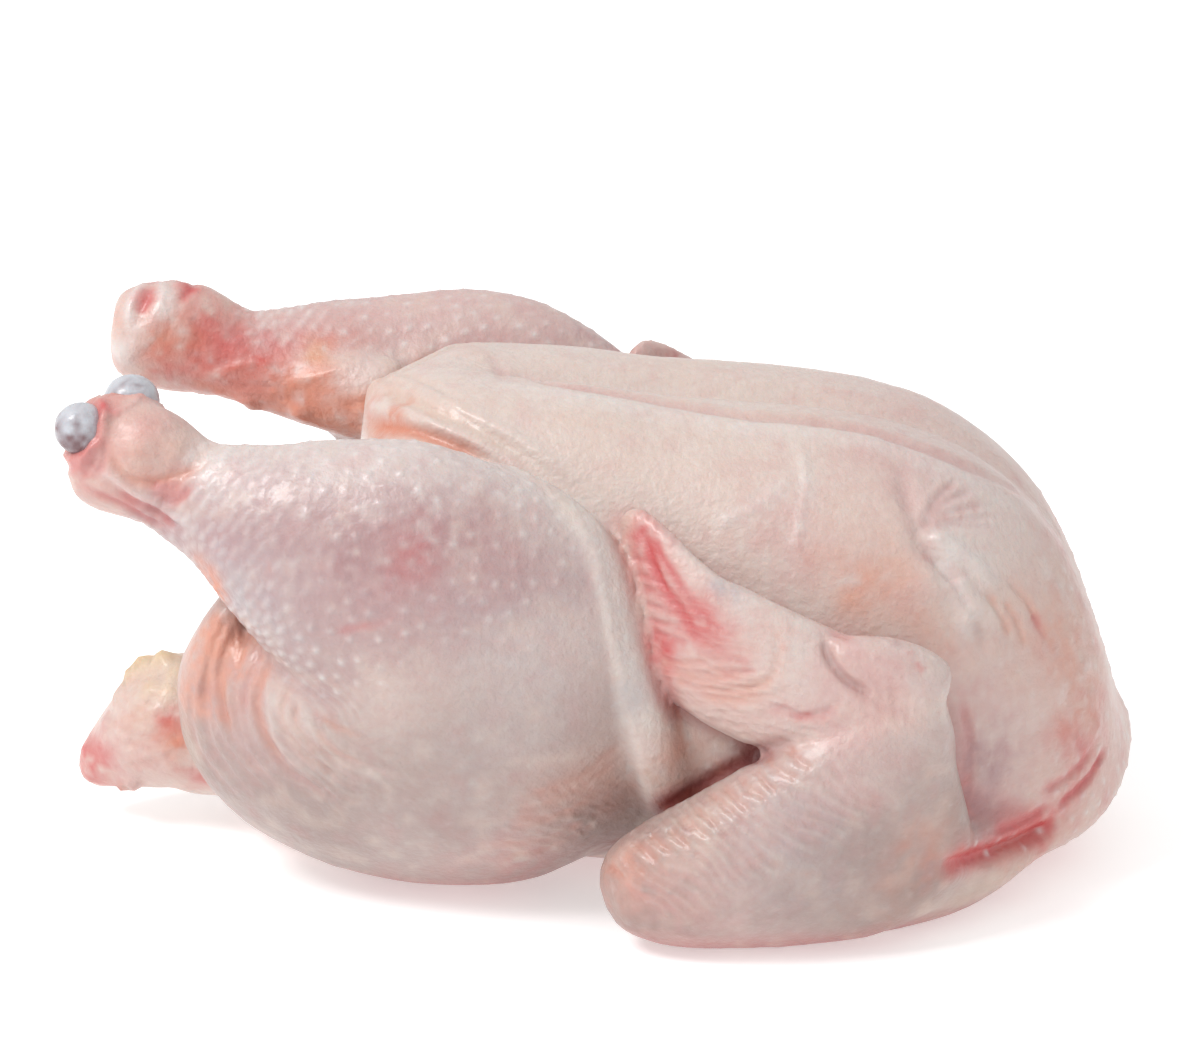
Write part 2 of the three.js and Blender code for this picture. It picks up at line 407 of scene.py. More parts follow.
def bird():
    """The whole bird's field, and the fields of the parts that the skin's details need."""
    parts = {}
    trunk = joined(field(torso()), field(limb(TAIL, SIDEWAYS)), TAIL_VALLEY)
    trunk = joined(trunk, field(limb(BREAST_TIP, SIDEWAYS)), TIP_VALLEY)
    trunk = joined(trunk, field(limb(NECK_RIM)), NECK_VALLEY)
    for side in (LEFT, RIGHT):
        trunk = joined(trunk, field(limb(sided(FLANK, side), LENGTHWISE)), FLANK_VALLEY)
    legs = joined(leg(LEFT, parts), leg(RIGHT, parts), PAIR_VALLEY)
    wings = joined(wing(LEFT, parts), wing(RIGHT, parts), PAIR_VALLEY)
    wingless = joined(trunk, legs, LEG_VALLEY)
    cavity = field(limb(CAVITY, SIDEWAYS))
    parts[TRUNK] = trunk
    parts["seam"] = 0.6 * np.maximum(wingless, wings)
    parts["cavity"] = cavity
    whole = joined(wingless, wings, widening(2, 6, 74, 96))
    whole = carved(whole, cavity, CAVITY_RIM)
    return carved(whole, Z + 0 * whole, TABLE_EDGE), parts


def surface(values):
    """The zero surface of a field, as points and faces of four corners."""
    grid = openvdb.FloatGrid()
    grid.background = VOXEL * BAND_VOXELS
    grid.copyFromArray(values.astype(np.float32), ijk=(0, 0, 0))
    points, quads = grid.convertToQuads(isovalue=0.0)
    return ORIGIN + VOXEL * points.astype(float), quads.astype(int)


# Palette, in the screen's own values from 0 to 255

PALE = (229, 209, 201)
CREAM = (228, 198, 182)
PINK = (216, 165, 160)
MAUVE = (178, 134, 136)
ORANGE = (224, 138, 108)
PEACH = (230, 164, 142)
RED = (212, 92, 92)
BLOOD = (214, 62, 64)
SINEW = (128, 92, 96)
# The dark red below and SHADE are painted shade, laid low on the skin and in the creases and seams between
# parts, where shade falls.
RED_SHADE = (150, 48, 48)
FAT = (236, 206, 158)
SHADE = (162, 136, 128)
GREY = (186, 178, 182)
WHITE = (236, 228, 224)
COLD = (208, 206, 212)

# The studio is brighter than the palette's white, so the skin gives back less of its light.
GIVEN_BACK = np.array([0.73, 0.77, 0.78])


def linear(colour):
    """A palette colour as the amounts of light that it gives back."""
    share = np.array(colour) / 255
    return GIVEN_BACK * np.where(share < 0.04045, share / 12.92, ((share + 0.055) / 1.055) ** 2.4)


def crease(r):
    """The height of a furrow with low lips, at r widths from its line."""
    return 0.15 * np.exp(-(r - 2) ** 2) - np.exp(-r ** 2)


def ridge(r):
    """The height of a rounded ridge, at r widths from its line."""
    return np.exp(-r ** 2)


# Folds: part, form, height, width, colour, its strength and the line in picture pixels. A fan of folds also
# has the number of its lines and the last of them. Folds of leg, wing, trunk and body are on both sides, the
# first three only on that part of the bird. The others are only where they are seen.
FOLDS = [
    # thigh and vent
    (LEG, crease, 0.42, 2.2, MAUVE, 0.3, [(238, 622), (268, 662), (300, 690), (345, 704)]),
    (LEG, crease, 0.18, 0.8, RED, 0.45, [(336, 634), (352, 628), (372, 625), (398, 617)]),
    (LEG, crease, 0.33, 1.1, PINK, 0.3,
     [(206, 650), (192, 690), (203, 745), (240, 800)], 8,
     [(268, 660), (264, 715), (290, 765), (366, 812)]),
    (LEG, crease, 0.7, 1.1, ORANGE, 0.45, [(236, 608), (224, 626), (213, 650), (205, 680), (203, 704)]),
    (LEG, crease, 0.6, 1.0, ORANGE, 0.4, [(240, 618), (229, 642), (221, 668), (222, 704), (230, 734)]),
    (LEG, crease, 0.6, 1.0, ORANGE, 0.5, [(249, 624), (243, 644), (238, 664)]),
    (LEG, crease, 0.6, 1.0, PINK, 0.6, [(260, 632), (257, 652), (252, 672), (244, 692), (246, 716)]),
    (LEG, crease, 0.48, 1.0, ORANGE, 0.4, [(272, 656), (262, 680), (256, 706), (266, 738), (284, 764)]),
    (LEG, crease, 0.48, 1.0, ORANGE, 0.35,
     [(290, 688), (281, 712), (288, 736), (310, 758), (342, 778)]),
    (LEG, crease, 0.36, 0.9, ORANGE, 0.35,
     [(300, 700), (294, 722), (308, 742), (334, 758), (366, 768)]),
    (LEG, crease, 0.3, 0.7, ORANGE, 0.5,
     [(312, 718), (324, 738), (346, 754), (374, 765)], 2,
     [(324, 716), (336, 726), (348, 736), (358, 742)]),
    (LEG, ridge, 0.24, 1.0, PALE, 0.4,
     [(276, 668), (270, 704), (284, 748), (330, 790)], 5,
     [(308, 700), (312, 730), (350, 764), (420, 782)]),
    # the left hock's skin sleeve
    (LEG, crease, 0.78, 1.0, ORANGE, 0.6,
     [(110, 442), (116, 464), (129, 478), (155, 481), (180, 474), (204, 466)]),
    (LEG, crease, 0.54, 0.9, RED, 0.45,
     [(146, 484), (164, 491), (186, 480)], 3,
     [(152, 499), (174, 502), (200, 484)]),
    (LEG, ridge, 0.6, 0.9, WHITE, 0.6,
     [(98, 470), (115, 477), (134, 493), (155, 503), (174, 517), (198, 529)]),
    (LEG, crease, 0.54, 1.0, RED, 0.6,
     [(106, 486), (134, 503), (155, 513), (182, 526)], 2,
     [(84, 486), (120, 506), (150, 522), (184, 531)]),
    (LEG, ridge, 0.66, 0.9, PINK, 0.5,
     [(160, 399), (142, 402), (120, 412), (96, 430), (90, 452), (80, 468), (66, 477)]),
    (LEG, crease, 0.42, 0.9, RED, 0.4,
     [(100, 432), (96, 456), (84, 474)], 2,
     [(108, 434), (104, 460), (96, 480)]),
    # breast
    (BODY, crease, 0.9, 1.7, ORANGE, 0.95,
     [(366, 424), (398, 426), (430, 435), (480, 455), (525, 480), (560, 506)]),
    (BODY, crease, 0.48, 1.0, CREAM, 0.5,
     [(374, 406), (402, 412), (440, 430)], 5,
     [(384, 372), (430, 386), (500, 430)]),
    (TRUNK, ridge, 0.3, 1.6, CREAM, 0.5,
     [(520, 470), (562, 500), (588, 540), (602, 590), (614, 650), (634, 730), (654, 780)]),
    (TRUNK, ridge, 0.3, 3.2, WHITE, 0.45,
     [(560, 490), (590, 540), (606, 600), (622, 660), (642, 740), (652, 780)]),
    (TRUNK, ridge, 0.3, 1.3, WHITE, 0.4, [(798, 440), (806, 478), (800, 520), (797, 560)]),
    (TRUNK, ridge, 0.36, 1.5, WHITE, 0.4, [(716, 524), (756, 506), (790, 480)]),
    (HERE, crease, 1.0, 2.0, PINK, 0.55,
     [(486, 370), (560, 384), (640, 398), (740, 414), (850, 428), (920, 447), (980, 472), (1030, 500)]),
    # A painted highlight along the near breast lobe's top edge, below the groove.
    (HERE, ridge, 0.5, 2.6, WHITE, 0.45,
     [(486, 382), (560, 395), (640, 409), (740, 425), (850, 439), (920, 459), (974, 484), (1020, 512)]),
    (BODY, ridge, 0.9, 1.5, WHITE, 0.4,
     [(368, 404), (385, 408), (403, 413), (447, 431), (506, 460), (556, 492)]),
    (BODY, crease, 0.4, 1.2, CREAM, 0.5, [(384, 390), (403, 398), (440, 414), (490, 438), (530, 462)]),
    (BODY, ridge, 0.6, 1.4, PALE, 0.4, [(396, 382), (430, 392), (480, 418), (530, 446), (566, 476)]),
    (HERE, crease, 0.36, 1.2, PINK, 0.3, [(486, 356), (498, 366), (502, 380)]),
    # wing tip and thumb
    (WING, ridge, 0.32, 1.4, CREAM, 0.5,
     [(628, 514), (625, 541), (629, 572), (639, 610), (652, 648), (676, 682)]),
    (WING, ridge, 0.27, 1.2, PALE, 0.6,
     [(648, 520), (668, 538), (692, 558), (714, 577), (745, 595), (780, 612)]),
    (WING, crease, 0.54, 1.2, RED, 0.95,
     [(640, 524), (648, 548), (661, 583), (674, 601), (687, 623), (698, 636), (712, 645)]),
    (WING, crease, 0.36, 0.9, RED, 0.8, [(652, 536), (664, 560), (684, 590), (702, 612), (722, 632)]),
    (WING, crease, 0.32, 0.8, RED, 0.45,
     [(632, 556), (646, 562), (660, 576)], 6,
     [(646, 634), (668, 638), (696, 644)]),
    (WING, crease, 0.32, 0.8, ORANGE, 0.5,
     [(656, 660), (684, 662), (708, 660)], 4,
     [(682, 690), (722, 690), (764, 680)]),
    (WING, crease, 0.32, 0.8, RED, 0.45,
     [(706, 650), (730, 656), (756, 660)], 3,
     [(716, 672), (742, 672), (766, 668)]),
    (WING, crease, 0.36, 0.9, ORANGE, 0.6, [(700, 697), (730, 699), (763, 697), (794, 690)]),
    (WING, crease, 0.32, 0.9, ORANGE, 0.5, [(777, 630), (777, 662), (766, 682), (744, 690)]),
    (WING, crease, 0.5, 1.0, RED, 0.9, [(768, 708), (785, 710), (799, 716), (822, 714), (834, 706)]),
    # Painted shade: a dark red crease where the thumb meets the body.
    (HERE, crease, 1.4, 1.0, RED_SHADE, 0.65, [(824, 640), (831, 661), (847, 680), (872, 696)]),
    (HERE, crease, 0.36, 0.8, RED, 0.3, [(828, 634), (840, 636), (852, 641)]),
    (WING, crease, 0.14, 0.9, PINK, 0.4,
     [(846, 648), (880, 656), (910, 676)], 4,
     [(850, 700), (884, 706), (920, 730)]),
    # forearm
    # Painted shade: a dark red crease in the valley under the forearm's upper edge, against the body.
    (HERE, crease, 0.6, 1.8, RED_SHADE, 0.7,
     [(796, 739), (760, 756), (730, 771), (704, 785), (676, 801), (650, 820), (629, 840)]),
    (WING, crease, 0.41, 0.9, ORANGE, 0.4,
     [(606, 862), (618, 874), (634, 884)], 13,
     [(780, 746), (796, 762), (812, 770)]),
    (WING, crease, 0.16, 0.9, PINK, 0.4,
     [(626, 884), (650, 900), (680, 912)], 16,
     [(826, 760), (860, 790), (890, 806)]),
    (HERE, crease, 0.3, 1.4, RED, 0.5, [(962, 700), (968, 740), (966, 790), (956, 835), (946, 862)]),
    # neck and shoulder
    (BODY, crease, 1.8, 2.2, BLOOD, 0.95,
     [(1058, 820), (1037, 834), (1015, 844), (994, 852), (966, 861), (940, 866)]),
    (BODY, crease, 0.6, 1.2, RED, 0.7,
     [(1050, 806), (1020, 822), (980, 836)], 2,
     [(1052, 832), (1022, 846), (984, 856)]),
    (BODY, crease, 0.9, 1.2, RED, 0.85,
     [(1106, 748), (1098, 763), (1087, 780), (1070, 796), (1057, 808)]),
    (BODY, crease, 0.48, 1.1, RED, 0.5, [(1094, 744), (1080, 764), (1062, 780), (1044, 790)]),
    (BODY, ridge, 0.72, 3.2, CREAM, 0.5,
     [(1080, 822), (1050, 844), (1028, 860), (998, 880), (956, 900), (910, 912)]),
    (BODY, crease, 1.1, 2.2, PINK, 0.5,
     [(900, 462), (908, 500), (917, 524), (922, 544), (936, 562), (952, 586)]),
    (BODY, crease, 0.5, 1.0, PINK, 0.7,
     [(918, 522), (940, 498), (966, 474)], 5,
     [(924, 530), (960, 524), (1010, 532)]),
    (BODY, ridge, 1.0, 2.2, WHITE, 0.5, [(930, 534), (948, 544), (972, 562), (996, 590)]),
    (BODY, crease, 0.7, 1.2, PINK, 0.8, [(922, 540), (938, 560), (954, 582), (966, 606), (984, 640)]),
    (BODY, crease, 0.6, 1.1, PEACH, 0.8, [(984, 590), (998, 612), (1010, 636)]),
    (BODY, crease, 0.5, 1.0, PEACH, 0.7,
     [(1004, 576), (1024, 604), (1040, 630)], 2,
     [(1000, 600), (1014, 622), (1026, 650)]),
    (BODY, ridge, 0.9, 2.2, WHITE, 0.45, [(956, 578), (964, 600), (968, 624)]),
    (BODY, ridge, 0.9, 1.9, WHITE, 0.4, [(958, 634), (966, 622), (975, 609), (988, 614), (1000, 626)]),
    (BODY, crease, 0.3, 1.0, RED, 0.5, [(1032, 614), (1038, 624), (1047, 640)]),
    # tail
    (HERE, crease, 0.36, 0.8, ORANGE, 0.35,
     [(112, 726), (134, 712), (158, 700)], 5,
     [(124, 770), (158, 760), (190, 750)]),
    (LEG, crease, 0.24, 1.1, ORANGE, 0.25,
     [(480, 856), (540, 850), (600, 822)], 6,
     [(520, 800), (580, 780), (628, 740)]),
    # the right hock and its shank
    (HERE, ridge, 0.6, 1.0, WHITE, 0.8,
     [(152, 280), (162, 286), (161, 302), (151, 322), (138, 331), (129, 322), (131, 304), (139, 288),
      (152, 280)]),
    (HERE, crease, 0.78, 1.3, RED, 0.75, [(150, 286), (145, 300), (138, 314)]),
    (HERE, ridge, 0.48, 1.4, WHITE, 0.6, [(172, 284), (168, 306), (156, 328), (136, 348), (124, 366)]),
    (HERE, crease, 0.54, 1.0, RED, 0.7, [(196, 282), (190, 290), (180, 300)]),
    (HERE, crease, 0.54, 1.2, RED, 0.45,
     [(192, 312), (206, 330), (232, 352)], 3,
     [(186, 346), (206, 362), (236, 370)]),
    (HERE, ridge, 0.48, 1.1, CREAM, 0.5,
     [(206, 380), (241, 366), (262, 364), (280, 384), (308, 379), (361, 362)]),
    (HERE, crease, 0.48, 1.1, ORANGE, 0.5,
     [(176, 376), (230, 388), (300, 388)], 3,
     [(190, 396), (240, 404), (320, 410)]),
]

# Lumps: part, place across and down the picture, radius, height, colour and its strength
LUMPS = [
    (HERE, 148, 668, 2.2, 3.2, FAT, 0.8),
    (HERE, 166, 664, 2.6, 3.4, FAT, 0.8),
    (HERE, 176, 674, 2.6, 1.2, FAT, 0.5),
    (HERE, 134, 678, 2.0, 2.6, FAT, 0.7),
    (HERE, 121, 694, 2.2, 1.8, CREAM, 0.5),
    (HERE, 150, 690, 2.2, 1.0, FAT, 0.5),
    (HERE, 168, 692, 2.4, 1.1, FAT, 0.5),
    (HERE, 136, 706, 2.0, 0.8, CREAM, 0.4),
    (HERE, 156, 712, 2.0, 0.8, CREAM, 0.4),
    (HERE, 106, 722, 2.4, 0.9, PINK, 0.4),
    (HERE, 124, 728, 2.2, 0.6, CREAM, 0.4),
    (HERE, 86, 750, 2.6, 0.8, RED, 0.5),
    (HERE, 124, 784, 1.6, 2.0, ORANGE, 0.6),
    (HERE, 134, 782, 1.8, 2.2, PINK, 0.6),
    (LEG, 134, 456, 4.0, 1.0, CREAM, 0.5),
    (LEG, 150, 430, 4.5, 0.8, PINK, 0.4),
    (LEG, 176, 448, 3.0, 0.8, CREAM, 0.4),
    (BODY, 1017, 834, 0.8, 0.25, WHITE, 0.6),
    (BODY, 1001, 841, 0.8, 0.25, WHITE, 0.6),
    (BODY, 993, 855, 0.8, 0.25, WHITE, 0.6),
    (BODY, 1026, 848, 0.8, 0.25, WHITE, 0.6),
    (BODY, 976, 844, 0.8, 0.25, WHITE, 0.6),
    (BODY, 1044, 834, 0.8, 0.25, WHITE, 0.6),
    (TRUNK, 930, 584, 3.4, 0.8, CREAM, 0.2),
    (BODY, 974, 664, 3.0, 0.9, CREAM, 0.4),
    (BODY, 994, 650, 2.6, 0.8, CREAM, 0.4),
    (TRUNK, 1085, 665, 1.8, 0.7, WHITE, 0.5),
    (TRUNK, 1060, 690, 1.8, 0.7, WHITE, 0.5),
    (TRUNK, 1092, 700, 1.8, 0.7, WHITE, 0.5),
    (TRUNK, 1070, 640, 1.6, 0.6, WHITE, 0.4),
    (TRUNK, 1046, 570, 1.8, 0.5, WHITE, 0.4),
    (TRUNK, 1064, 600, 1.6, 0.5, WHITE, 0.4),
    (TRUNK, 1096, 724, 2.0, 0.9, PINK, 0.4),
    (HERE, 120, 350, 3.0, 0.8, WHITE, 0.8),
    (HERE, 470, 352, 5.0, 0.8, CREAM, 0.2),
    (HERE, 392, 368, 3.4, 1.4, CREAM, 0.4),
    (HERE, 375, 386, 2.6, 1.2, CREAM, 0.4),
    (HERE, 420, 356, 3.4, 1.2, CREAM, 0.3),
    (HERE, 364, 404, 2.4, 1.0, CREAM, 0.4),
    (HERE, 250, 404, 2.6, 1.4, ORANGE, 0.4),
    (HERE, 300, 412, 2.6, 1.2, ORANGE, 0.4),
]

# Tints: part, place across and down the picture, radius, colour and its strength
TINTS = [
    (LEG, 230, 590, 16, GREY, 0.5),
    (LEG, 270, 500, 12, MAUVE, 0.4),
    (LEG, 360, 570, 16, MAUVE, 0.6),
    (LEG, 440, 540, 14, MAUVE, 0.55),
    (LEG, 415, 555, 7, RED, 0.3),
    (LEG, 500, 560, 14, PINK, 0.15),
    (LEG, 490, 700, 26, GREY, 0.28),
    (LEG, 400, 690, 16, CREAM, 0.3),
    # Painted shade on the lower part of the thigh.
    (LEG, 330, 780, 16, SHADE, 0.4),
    (LEG, 570, 800, 12, ORANGE, 0.25),
    (LEG, 610, 810, 7, ORANGE, 0.4),
    (LEG, 520, 866, 14, RED, 0.25),
    # Painted shade low on the thigh, in the crease against the elbow.
    (LEG, 612, 845, 9, RED_SHADE, 0.5),
    (LEG, 590, 825, 12, SHADE, 0.7),
    (LEG, 212, 636, 8, PEACH, 0.8),
    (LEG, 192, 690, 7, PEACH, 0.7),
    (LEG, 238, 664, 8, PEACH, 0.5),
    (LEG, 215, 585, 5, ORANGE, 0.8),
    (LEG, 110, 455, 9, PINK, 0.4),
    (LEG, 150, 470, 8, ORANGE, 0.25),
    (LEG, 80, 466, 4, RED, 0.5),
    (LEG, 108, 408, 2.6, RED, 0.8),
    (LEG, 160, 520, 6, MAUVE, 0.5),
    (BODY, 390, 422, 6, ORANGE, 0.7),
    (BODY, 372, 404, 5, ORANGE, 0.35),
    (HERE, 212, 582, 4, ORANGE, 0.6),
    (TRUNK, 625, 700, 6, GREY, 0.3),
    (TRUNK, 680, 750, 9, ORANGE, 0.4),
    (TRUNK, 700, 440, 24, CREAM, 0.25),
    (TRUNK, 875, 590, 9, PEACH, 0.4),
    (TRUNK, 812, 556, 3, ORANGE, 0.4),
    (TRUNK, 838, 566, 3, ORANGE, 0.4),
    (TRUNK, 858, 572, 3, RED, 0.25),
    (TRUNK, 880, 570, 3, ORANGE, 0.4),
    (TRUNK, 898, 596, 3, RED, 0.3),
    (TRUNK, 918, 612, 4, ORANGE, 0.35),
    (TRUNK, 940, 640, 5, PEACH, 0.5),
    # Painted light on the shoulder by the neck, which faces away from the lamp.
    (TRUNK, 960, 530, 18, WHITE, 0.25),
    (TRUNK, 1010, 520, 14, PALE, 0.4),
    (TRUNK, 920, 586, 4, RED, 0.3),
    (TRUNK, 830, 560, 12, PINK, 0.5),
    (TRUNK, 760, 540, 12, PINK, 0.35),
    (TRUNK, 900, 470, 12, PINK, 0.3),
    (TRUNK, 980, 600, 10, CREAM, 0.4),
    # Painted light on the shoulder fold.
    (TRUNK, 950, 560, 9, WHITE, 0.4),
    (TRUNK, 870, 566, 14, CREAM, 0.5),
    (TRUNK, 896, 572, 5, PEACH, 0.5),
    (TRUNK, 856, 592, 5, PEACH, 0.6),
    (TRUNK, 1000, 560, 10, PALE, 0.4),
    (BODY, 1037, 624, 1.4, RED, 0.95),
    (TRUNK, 1068, 736, 6, RED, 0.5),
    (TRUNK, 1086, 700, 7, ORANGE, 0.5),
    (TRUNK, 1060, 640, 12, PEACH, 0.5),
    (BODY, 1084, 770, 6, RED, 0.5),
    (BODY, 1044, 826, 4.5, BLOOD, 0.8),
    (BODY, 1024, 836, 5, BLOOD, 0.8),
    (BODY, 1002, 846, 4, BLOOD, 0.6),
    (BODY, 980, 852, 3.5, RED, 0.8),
    (BODY, 958, 860, 3.5, RED, 0.8),
    (BODY, 985, 800, 7, MAUVE, 0.4),
    (TRUNK, 984, 755, 9, MAUVE, 0.6),
    (TRUNK, 990, 700, 10, PINK, 0.35),
    (BODY, 1000, 885, 9, CREAM, 0.5),
    (BODY, 1030, 868, 4, RED, 0.4),
    (WING, 640, 530, 5, RED, 0.6),
    (WING, 626, 520, 3, CREAM, 0.5),
    (WING, 652, 560, 6, RED, 0.45),
    (WING, 697, 618, 5, BLOOD, 0.95),
    (WING, 706, 626, 4.5, BLOOD, 0.9),
    (WING, 722, 632, 6, BLOOD, 0.5),
    (WING, 664, 652, 4.5, BLOOD, 0.8),
    (WING, 650, 652, 3, RED, 0.6),
    (WING, 700, 668, 9, PINK, 0.5),
    (WING, 740, 680, 9, ORANGE, 0.3),
    (WING, 790, 640, 13, PALE, 0.8),
    (WING, 740, 596, 6, PALE, 0.7),
    (WING, 820, 690, 10, PALE, 0.5),
    (WING, 726, 592, 3, GREY, 0.6),
    (WING, 850, 665, 9, PINK, 0.5),
    (WING, 830, 626, 3, WHITE, 0.5),
    (WING, 842, 637, 2.4, RED, 0.3),
    (WING, 898, 643, 1.1, MAUVE, 0.6),
    (WING, 919, 666, 1.0, RED, 0.6),
    (WING, 908, 652, 0.9, RED, 0.5),
    (WING, 930, 690, 2.0, PINK, 0.5),
    (WING, 850, 735, 10, PINK, 0.45),
    (WING, 625, 880, 9, ORANGE, 0.35),
    (WING, 700, 840, 12, CREAM, 0.4),
    (WING, 780, 850, 16, GREY, 0.3),
    (WING, 915, 855, 10, ORANGE, 0.35),
    (WING, 960, 745, 3.5, RED, 0.5),
    (WING, 700, 930, 14, PINK, 0.4),
    (HERE, 110, 745, 9, PINK, 0.5),
    (HERE, 96, 764, 6, BLOOD, 0.7),
    (HERE, 88, 760, 4, BLOOD, 0.7),
    (HERE, 150, 735, 9, CREAM, 0.5),
    (HERE, 175, 722, 4, BLOOD, 0.7),
    (HERE, 178, 744, 4, ORANGE, 0.8),
    (HERE, 204, 780, 4, BLOOD, 0.7),
    (HERE, 150, 760, 8, PINK, 0.4),
    (HERE, 160, 350, 9, ORANGE, 0.5),
    (HERE, 208, 330, 8, RED, 0.45),
    (HERE, 176, 344, 6, ORANGE, 0.6),
    (HERE, 180, 372, 7, RED, 0.45),
    (HERE, 238, 348, 7, RED, 0.4),
    (HERE, 262, 360, 2, RED, 0.9),
    (HERE, 284, 350, 7, RED, 0.35),
    (HERE, 190, 288, 3, RED, 0.6),
    (HERE, 316, 355, 3, FAT, 0.6),
    (HERE, 330, 336, 6, RED, 0.3),
    (HERE, 225, 386, 11, RED, 0.45),
    (HERE, 265, 376, 9, RED, 0.4),
    (HERE, 215, 396, 9, ORANGE, 0.6),
    (HERE, 300, 402, 12, ORANGE, 0.7),
    (HERE, 340, 420, 8, ORANGE, 0.6),
    (HERE, 120, 345, 3, WHITE, 0.6),
    (HERE, 144, 299, 2.6, RED, 0.5),
    (HERE, 600, 330, 12, MAUVE, 0.4),
]

# The bumps that the feathers grew from
FOLLICLE_SPACING = 5.2
FOLLICLE_RADIUS = 0.85
FOLLICLE_HEIGHT = 0.6

# Fine parallel wrinkles: part, place across and down the picture, radius, angle across the wrinkles,
# spacing and height
WRINKLES = [
    (LEG, 330, 740, 18, 50, 2.6, 0.08),
    (LEG, 560, 830, 16, 60, 3.0, 0.07),
    (LEG, 460, 660, 26, 80, 4.2, 0.035),
    (TRUNK, 700, 480, 26, 20, 4.6, 0.03),
    (TRUNK, 880, 420, 24, -50, 4.0, 0.04),
    (TRUNK, 1000, 700, 20, 10, 3.4, 0.05),
    (WING, 700, 870, 24, 50, 2.6, 0.08),
    (WING, 820, 810, 22, 60, 2.8, 0.07),
    (WING, 900, 740, 16, 10, 3.0, 0.05),
    (WING, 700, 640, 16, 75, 2.0, 0.07),
    (WING, 740, 690, 14, 80, 1.8, 0.08),
    (HERE, 130, 740, 14, 60, 2.6, 0.08),
]


# Laying details on the skin

def noise(points, size, seed):
    """Smooth random values from -1 to 1 that change over that size. Each seed gives another pattern."""
    values = np.random.default_rng(SEED + seed).uniform(-1, 1, NOISE_SHAPE)
    place = points / size
    first = np.floor(place).astype(int)
    return blended(values, first, ramp(place - first, 0, 1))


def seen(tree, pixel):
    """The point of the skin at a place of the picture, or the nearest one where the picture shows none."""
    across, down = pixel[0] - PICTURE[0] / 2, pixel[1] - PICTURE[1] / 2
    direction = -BACK + (ACROSS * across - UPRIGHT * down) / FOCAL
    direction /= np.linalg.norm(direction)
    hit = tree.ray_cast(Vector(EYE), Vector(direction))[0]
    if hit is None:
        reach = (AIM - EYE) @ direction
        beside = [tree.find_nearest(Vector(EYE + direction * (reach + step))) for step in SEARCH]
        hit = min(beside, key=lambda found: found[3])[0]
    return np.array(hit)


def traced(tree, pixels):
    """The line on the skin under a line of the picture: its longest stretch without a jump, smoothed."""
    spots = np.array([seen(tree, pixel) for pixel in pixels])
    jumps = np.flatnonzero(np.linalg.norm(np.diff(spots, axis=0), axis=1) > JUMP) + 1
    line = max(np.split(spots, jumps), key=len)
    for _ in range(3):
        line[1:-1] = (line[:-2] + 2 * line[1:-1] + line[2:]) / 4
    return line


def other_side(tree, part, points):
    """The same places on the right side of the bird."""
    moved = points * [1, -1, 1]
    if part == LEG:
        moved = drawn_out(moved)
    if part == WING:
        moved[:, 2] += RIGHT_HAND_LIFT * ramp(points[:, 2], 40, 62)
    return np.array([tree.find_nearest(Vector(point))[0] for point in moved])


def both(tree, part, points):
    """The places themselves, and those of the other side for parts that the bird has twice."""
    return [points] if part == HERE else [points, other_side(tree, part, points)]


def placed(tree, part, *pixel):
    """A place of the picture on the skin, with its twin where the bird has the part twice."""
    return [points[0] for points in both(tree, part, seen(tree, pixel)[None])]


